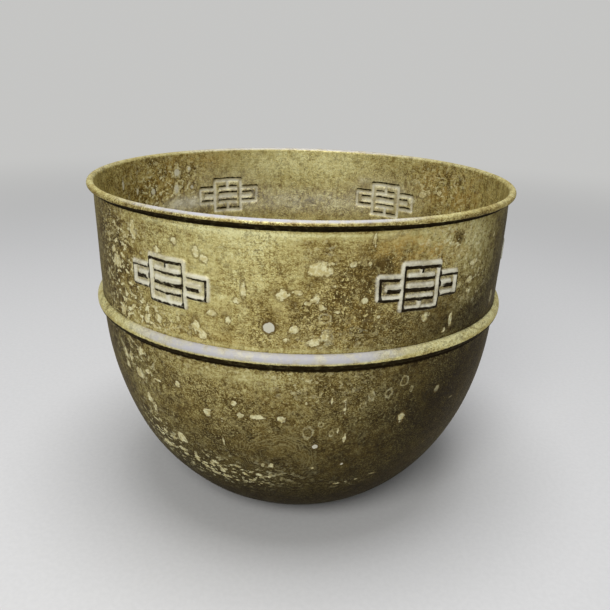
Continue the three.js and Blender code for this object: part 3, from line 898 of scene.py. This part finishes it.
class Finish:
    """A node material, and short forms for its nodes.

    A value is a number, a colour or another node's socket.
    """

    def __init__(self, name):
        self.material = bpy.data.materials.new(name)
        self.material.use_nodes = True
        self.tree = self.material.node_tree
        self.shader = self.tree.nodes["Principled BSDF"]
        self.place = self.node("TexCoord").outputs["Object"]

    def put(self, socket, value):
        if isinstance(value, bpy.types.NodeSocket):
            self.tree.links.new(value, socket)
        else:
            socket.default_value = value

    def node(self, kind, **inputs):
        node = self.tree.nodes.new("ShaderNode" + kind)
        for name, value in inputs.items():
            self.put(node.inputs[name], value)
        return node

    def feed(self, name, value):
        """Sets an input of the surface's shader."""
        self.put(self.shader.inputs[name], value)

    def layer(self, name):
        node = self.node("Attribute")
        node.attribute_name = name
        return node.outputs["Fac"]

    def math(self, operation, first, second=0.0):
        node = self.node("Math")
        node.operation = operation
        self.put(node.inputs[0], first)
        self.put(node.inputs[1], second)
        return node.outputs[0]

    def chain(self, operation, values):
        total = values[0]
        for value in values[1:]:
            total = self.math(operation, total, value)
        return total

    def add(self, *values):
        return self.chain("ADD", values)

    def most(self, *values):
        return self.chain("MAXIMUM", values)

    def rest(self, value):
        """What a share leaves of 1."""
        return self.math("SUBTRACT", 1.0, value)

    def scaled(self, value, factor):
        return self.math("MULTIPLY", value, factor)

    def centred(self, value, factor):
        """A pattern round 0.5, spread by a factor round 0."""
        return self.scaled(self.math("SUBTRACT", value, 0.5), factor)

    def step(self, value, low, high, start=0.0, end=1.0):
        limits = {"From Min": low, "From Max": high, "To Min": start, "To Max": end}
        node = self.node("MapRange", Value=value, **limits)
        node.interpolation_type = "SMOOTHSTEP"
        return node.outputs["Result"]

    def noise(self, size, detail=3, roughness=0.6, stretch=(1, 1, 1), curl=0.0):
        """Clouds of about a size in millimetres."""
        place = self.node("Mapping", Vector=self.place, Scale=stretch).outputs["Vector"]
        shape = {"Scale": 1 / (size * MM), "Detail": detail, "Roughness": roughness, "Distortion": curl}
        return self.node("TexNoise", Vector=place, **shape).outputs["Fac"]

    def patches(self, size, detail, roughness, low, high, strength):
        """Parts of the clouds above a level, with a soft edge."""
        return self.step(self.noise(size, detail, roughness), low, high, 0.0, strength)

    def tide_lines(self, size, width, stretch):
        """Fine curled lines, like those that drying water leaves."""
        clouds = self.noise(size, 1, 0.5, stretch, 1.5)
        away = self.math("ABSOLUTE", self.math("SUBTRACT", clouds, 0.5))
        return self.step(away, 0.0, width, 1.0, 0.0)

    def distance(self, centre):
        node = self.node("VectorMath")
        node.operation = "DISTANCE"
        self.put(node.inputs[0], self.place)
        self.put(node.inputs[1], centre)
        return node.outputs["Value"]

    def swirl(self, centre, spacing, inner, outer):
        """Broken fine lines that curl round a place, as wiping leaves them."""
        away = self.distance(centre)
        wobble = self.centred(self.noise(9, 1, 0.5), 0.008)
        wave = self.math("SINE", self.scaled(self.add(away, wobble), math.tau / spacing))
        lines = self.step(wave, 0.2, 0.95)
        fade = self.step(away, 0.7 * outer, outer, 1.0, 0.0)
        near = self.scaled(self.step(away, inner, 2 * inner), fade)
        broken = self.step(self.noise(8, 2), 0.42, 0.58, 0.15, 1.0)
        return self.scaled(lines, self.scaled(near, broken))

    def ramp(self, value, stops):
        node = self.node("ValToRGB", Fac=value)
        elements = node.color_ramp.elements
        while len(elements) < len(stops):
            elements.new(1.0)
        for element, (position, colour) in zip(elements, stops):
            element.position = position
            element.color = (*colour, 1)
        return node.outputs["Color"]

    def mix(self, share, first, second):
        """A colour between two colours."""
        node = self.node("Mix", Factor=share)
        node.data_type = "RGBA"
        for name, value in (("A", first), ("B", second)):
            colour = value if isinstance(value, bpy.types.NodeSocket) else (*value, 1)
            self.put(node.inputs[name], colour)
        return node.outputs["Result"]

    def blend(self, share, first, second):
        """A number between two numbers."""
        return self.node("Mix", Factor=share, A=first, B=second).outputs["Result"]

    def bump(self, height, distance, strength=1.0, **normal):
        node = self.node("Bump", Height=height, Distance=distance, Strength=strength, **normal)
        return node.outputs["Normal"]


# From the darkest tarnish to the palest brass
BRASS_TONES = [
    (0.0, (0.055, 0.035, 0.010)),
    (0.22, (0.115, 0.077, 0.021)),
    (0.45, (0.30, 0.223, 0.066)),
    (0.7, (0.58, 0.51, 0.205)),
    (1.0, (0.80, 0.765, 0.40)),
]
WARM_BRASS = (0.50, 0.325, 0.082)
STAIN = (0.105, 0.066, 0.019)
BARE_BRASS = (0.68, 0.59, 0.26)
# Colour of the brass under full painted shade
PAINTED_SHADE_BLACK = (0.010, 0.007, 0.004)
LIME = (0.74, 0.70, 0.42)
THIN_LIME = (0.56, 0.48, 0.22)
SHADED_LIME = (0.12, 0.10, 0.05)
# Pale chalk and drops, and the painted highlight on the motif
PALE_RESIDUE_AND_HIGHLIGHT = (0.68, 0.66, 0.53)
# Colour of the painted shade, with some dirt
DARK_SHADE_AND_DIRT = (0.013, 0.008, 0.003)
# Painted highlight on the crowns of rim and belt
HIGHLIGHT_COLOUR = (0.45, 0.44, 0.455)
BRASS_GLOSS = (0.62, 0.52, 0.28, 1)
IRON = (0.22, 0.19, 0.16)
DARK_IRON = (0.07, 0.055, 0.045)
SOLDER = (0.5, 0.49, 0.46)
DARK_SOLDER = (0.3, 0.29, 0.27)


def brass_value(finish, tone, mottle, speckle, grain, roughened):
    """Lightness of the brass: the tone of a place, with patterns of many sizes round it."""
    clouds = finish.noise(30, 2, 0.5)
    runs = finish.noise(1.6, stretch=(1, 1, 0.15))
    turned = finish.noise(1.1, 2, stretch=(0.2, 0.2, 1))
    blotches = finish.noise(3.2, 4, 0.65, stretch=(1, 1, 0.7))
    return finish.add(
        tone,
        finish.centred(clouds, 0.3),
        finish.scaled(finish.centred(mottle, 1.2), finish.step(tone, 0.45, 0.75, 1.0, 0.7)),
        finish.centred(speckle, 0.45),
        finish.scaled(finish.centred(grain, 1.35), roughened),
        finish.centred(runs, 0.35),
        finish.centred(turned, 0.5),
        finish.scaled(finish.centred(blotches, 2.6), finish.layer("blotch")),
    )


def tarnished(finish, value, mottle, roughened):
    """Colour of the brass, with warm places, stains, pits, scuffs, tide lines and wiped swirls."""
    warm = finish.scaled(finish.step(mottle, 0.38, 0.62), finish.scaled(finish.layer("warm"), 0.7))
    pits = finish.patches(1.2, 2, 0.6, 0.57, 0.66, 0.75)
    scuffs = finish.patches(1.4, 2, 0.6, 0.58, 0.66, 0.75)
    dark_lines = finish.scaled(finish.tide_lines(6, 0.06, (1, 1, 1.6)), roughened)
    dried = finish.patches(9, 3, 0.6, 0.42, 0.56, 1.0)
    pale_lines = finish.scaled(finish.tide_lines(4.5, 0.06, (1, 1, 1.3)), dried)
    marks = [
        (warm, WARM_BRASS),
        (finish.patches(5.5, 5, 0.65, 0.55, 0.63, 0.4), STAIN),
        (finish.patches(7, 5, 0.68, 0.56, 0.64, 0.34), BARE_BRASS),
        (finish.scaled(pits, roughened), STAIN),
        (finish.scaled(scuffs, roughened), BARE_BRASS),
        (finish.scaled(dark_lines, 0.5), STAIN),
        (finish.scaled(pale_lines, 0.45), BARE_BRASS),
    ]
    for centre in SWIRLS:
        marks.append((finish.scaled(finish.swirl(centre, *SWIRL_SIZE), SWIRL_STRENGTH), BARE_BRASS))
    brass = finish.ramp(value, BRASS_TONES)
    for share, colour in marks:
        brass = finish.mix(share, brass, colour)
    return brass


def splashed(finish, brass, shade, speckle):
    """The colour with dried splashes on it, the cover of the splashes, and the drops among them."""
    coarse = finish.centred(finish.noise(5), 2.0)
    fine = finish.centred(finish.noise(1.6, 2), 1.2)
    ragged = finish.add(coarse, fine)
    depth = finish.add(finish.layer("lime"), ragged)
    crust = finish.step(depth, -0.08, 0.26)
    ring = finish.add(finish.layer("ring"), finish.scaled(ragged, 0.6))
    rim = finish.scaled(finish.step(ring, -0.2, 0.0), finish.step(ring, 0.1, 0.45, 1.0, 0.0))
    flakes = finish.step(finish.noise(2.8, stretch=(0.8, 0.8, 1.1)), 0.55, 0.59)
    flakes = finish.scaled(flakes, finish.layer("fleck"))
    pale = finish.most(crust, finish.scaled(rim, 0.5), flakes)
    pale = finish.scaled(pale, finish.step(speckle, 0.35, 0.6, 0.6, 1.0))

    drop_depth = finish.add(finish.layer("drop"), finish.scaled(ragged, 0.2))
    drop = finish.step(drop_depth, 0.0, 0.12)
    round_crust = finish.scaled(finish.step(depth, -0.5, -0.05), finish.rest(crust))
    round_drop = finish.step(drop_depth, -0.42, -0.2)
    outline = finish.most(finish.scaled(round_crust, 0.55), finish.scaled(round_drop, 0.8))
    colour = finish.mix(outline, brass, STAIN)
    lime = finish.mix(finish.step(finish.noise(2.2), 0.4, 0.6), THIN_LIME, LIME)
    lime = finish.mix(finish.step(shade, 0.0, 0.22), SHADED_LIME, lime)
    return finish.mix(finish.scaled(pale, 0.92), colour, lime), pale, drop


def chalk_highlight_and_shade(finish, colour, drop, mottle, speckle):
    """The colour with chalk, painted highlights and painted shade with some dirt on it, and the cover
    of each.
    """
    # Chalk and drops, with the painted highlight of the motif
    chalk_and_highlight = finish.scaled(finish.layer("residue_and_highlight"), finish.step(mottle, 0.36, 0.6, 0.5, 0.95))
    chalk_and_highlight = finish.most(chalk_and_highlight, finish.scaled(drop, 0.8))
    colour = finish.mix(chalk_and_highlight, colour, PALE_RESIDUE_AND_HIGHLIGHT)
    # Painted highlight on the crowns of rim and belt
    highlight_mask = finish.scaled(finish.layer("painted_highlight"), finish.step(mottle, 0.36, 0.56, 0.6, 1.0))
    colour = finish.mix(highlight_mask, colour, HIGHLIGHT_COLOUR)
    # Painted shade, with some dirt, where its layer says, broken by noise
    patchy = finish.add(finish.centred(speckle, 0.7), finish.centred(finish.noise(2.4), 0.6))
    shade_and_grime = finish.step(finish.add(finish.layer("shade_and_dirt"), patchy), 0.3, 0.62)
    shade_and_grime = finish.scaled(shade_and_grime, finish.step(finish.noise(3), 0.32, 0.5, 0.92, 0.99))
    return finish.mix(shade_and_grime, colour, DARK_SHADE_AND_DIRT), chalk_and_highlight, highlight_mask, shade_and_grime


def aged_brass():
    finish = Finish("aged_brass")
    tone = finish.layer("tone")
    shade = finish.layer("shade")
    mottle = finish.noise(10, 8, 0.68)
    speckle = finish.noise(1.8, 2)
    grain = finish.noise(0.6, 1, stretch=(0.75, 0.75, 1.1))
    uneven = finish.step(finish.noise(26, 2, 0.5), 0.36, 0.64, 0.6, 1.5)
    roughened = finish.scaled(finish.step(tone, 0.4, 0.72, 1.0, 0.55), uneven)

    value = brass_value(finish, tone, mottle, speckle, grain, roughened)
    brass = tarnished(finish, value, mottle, roughened)
    # Painted shade: the brass darkens towards black where the shade layer is low, with grain in the
    # darkness
    dusted = finish.scaled(finish.centred(grain, 0.4), finish.rest(shade))
    brass = finish.mix(finish.add(shade, dusted), PAINTED_SHADE_BLACK, brass)
    colour, pale, drop = splashed(finish, brass, shade, speckle)
    colour, chalk_and_highlight, highlight_mask, shade_and_grime = chalk_highlight_and_shade(finish, colour, drop, mottle, speckle)
    finish.feed("Base Color", colour)

    covered = finish.most(pale, chalk_and_highlight, highlight_mask, shade_and_grime)
    metal = finish.step(value, 0.1, 0.6, 0.3, 0.6)
    dull = finish.add(finish.step(value, 0.1, 0.8, 0.58, 0.44), finish.centred(speckle, 0.3))
    finish.feed("Metallic", finish.blend(covered, metal, 0.1))
    finish.feed("Roughness", finish.blend(covered, dull, 0.6))
    finish.feed("Specular IOR Level", finish.blend(shade_and_grime, 0.12, 0.01))
    finish.feed("Specular Tint", BRASS_GLOSS)

    normal = finish.bump(finish.add(speckle, finish.scaled(grain, 0.6)), 0.12 * MM)
    normal = finish.bump(mottle, 0.4 * MM, 0.6, Normal=normal)
    normal = finish.bump(pale, 0.15 * MM, 0.8, Normal=normal)
    finish.feed("Normal", normal)
    return finish.material


def dull_metal(name, light, dark, roughness):
    """Drawn iron or solder: a grainy grey metal."""
    finish = Finish(name)
    grain = finish.noise(1.2)
    finish.feed("Base Color", finish.mix(finish.step(grain, 0.35, 0.65), dark, light))
    finish.feed("Metallic", 0.9)
    finish.feed("Roughness", finish.step(grain, 0.3, 0.7, roughness - 0.1, roughness + 0.1))
    finish.feed("Normal", finish.bump(grain, 0.1 * MM))
    return finish.material


# Stage


def seen_rays(tree):
    """1 for the rays that show the background: to the camera, and in gloss and glass."""
    path = tree.nodes.new("ShaderNodeLightPath")
    total = path.outputs["Is Camera Ray"]
    for name in ("Is Glossy Ray", "Is Transmission Ray"):
        node = tree.nodes.new("ShaderNodeMath")
        node.operation = "MAXIMUM"
        tree.links.new(total, node.inputs[0])
        tree.links.new(path.outputs[name], node.inputs[1])
        total = node.outputs[0]
    return total


def show_mixed(tree, share, first, second, output):
    """Mixes two shaders by a share, as what a material or a world shows."""
    join = tree.nodes.new("ShaderNodeMixShader")
    for source, socket in zip((share, first.outputs[0], second.outputs[0]), join.inputs):
        tree.links.new(source, socket)
    tree.links.new(join.outputs[0], tree.nodes[output].inputs["Surface"])


def make_floor():
    bpy.ops.mesh.primitive_plane_add(size=FLOOR_SIZE, location=(0, 0, -FLOOR_DROP))
    floor = bpy.context.object
    floor.name = "floor"
    finish = Finish("pale_floor")
    grain = finish.step(finish.noise(3), 0.3, 0.7)
    finish.feed("Base Color", finish.mix(grain, FLOOR_COLOUR, FLOOR_SHADE))
    finish.feed("Roughness", 0.9)
    far = finish.step(finish.distance((0, 0, 0)), *FLOOR_FADE)
    glow = finish.node("Emission", Color=BACKGROUND)
    share = finish.scaled(far, seen_rays(finish.tree))
    show_mixed(finish.tree, share, finish.shader, glow, "Material Output")
    floor.data.materials.append(finish.material)


def make_world():
    world = bpy.data.worlds.new("studio")
    world.use_nodes = True
    tree = world.node_tree
    ambient = tree.nodes["Background"]
    ambient.inputs["Color"].default_value = AMBIENT_COLOUR
    ambient.inputs["Strength"].default_value = AMBIENT
    seen = tree.nodes.new("ShaderNodeBackground")
    seen.inputs["Color"].default_value = BACKGROUND
    show_mixed(tree, seen_rays(tree), ambient, seen, "World Output")
    bpy.context.scene.world = world


def add_lamp(name, place, target, size, power, colour):
    light = bpy.data.lights.new(name, "AREA")
    light.shape = "DISK"
    light.size = size
    light.energy = power
    light.color = colour
    lamp = bpy.data.objects.new(name, light)
    lamp.location = place
    direction = Vector(target) - Vector(place)
    lamp.rotation_euler = direction.to_track_quat("-Z", "Y").to_euler()
    bpy.context.scene.collection.objects.link(lamp)


def make_camera():
    data = bpy.data.cameras.new("camera")
    data.sensor_width = SENSOR_WIDTH
    data.lens = FOCAL_PIXELS / IMAGE_SIZE * SENSOR_WIDTH
    data.clip_start = CLIP_START
    camera = bpy.data.objects.new("camera", data)
    forward = Vector((0, math.cos(CAMERA_PITCH), -math.sin(CAMERA_PITCH)))
    right = Vector((1, 0, 0))
    up = right.cross(forward)
    level = Matrix((right, up, -forward)).transposed()
    rolled = Matrix.Rotation(CAMERA_ROLL, 3, "Z")
    camera.matrix_world = Matrix.Translation(CAMERA_PLACE) @ (level @ rolled).to_4x4()
    bpy.context.scene.collection.objects.link(camera)
    bpy.context.scene.camera = camera


def dress(piece, node, material):
    """Puts a piece in the place of its node."""
    piece.data.materials.append(material)
    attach(piece, "root")
    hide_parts(node)


brass = aged_brass()
dress(make_bowl(), "bowl", brass)
dress(make_collar(), "collar", brass)
dress(make_belt(), "belt_hoop", brass)
iron = dull_metal("iron_wire", IRON, DARK_IRON, roughness=0.6)
dress(make_wire(), "rim_wire", iron)
solder = dull_metal("soft_solder", SOLDER, DARK_SOLDER, roughness=0.45)
dress(make_solder(), "lap_solder", solder)

make_floor()
make_world()
for lamp in LAMPS:
    add_lamp(*lamp)
make_camera()
bpy.context.scene.view_settings.view_transform = "Standard"
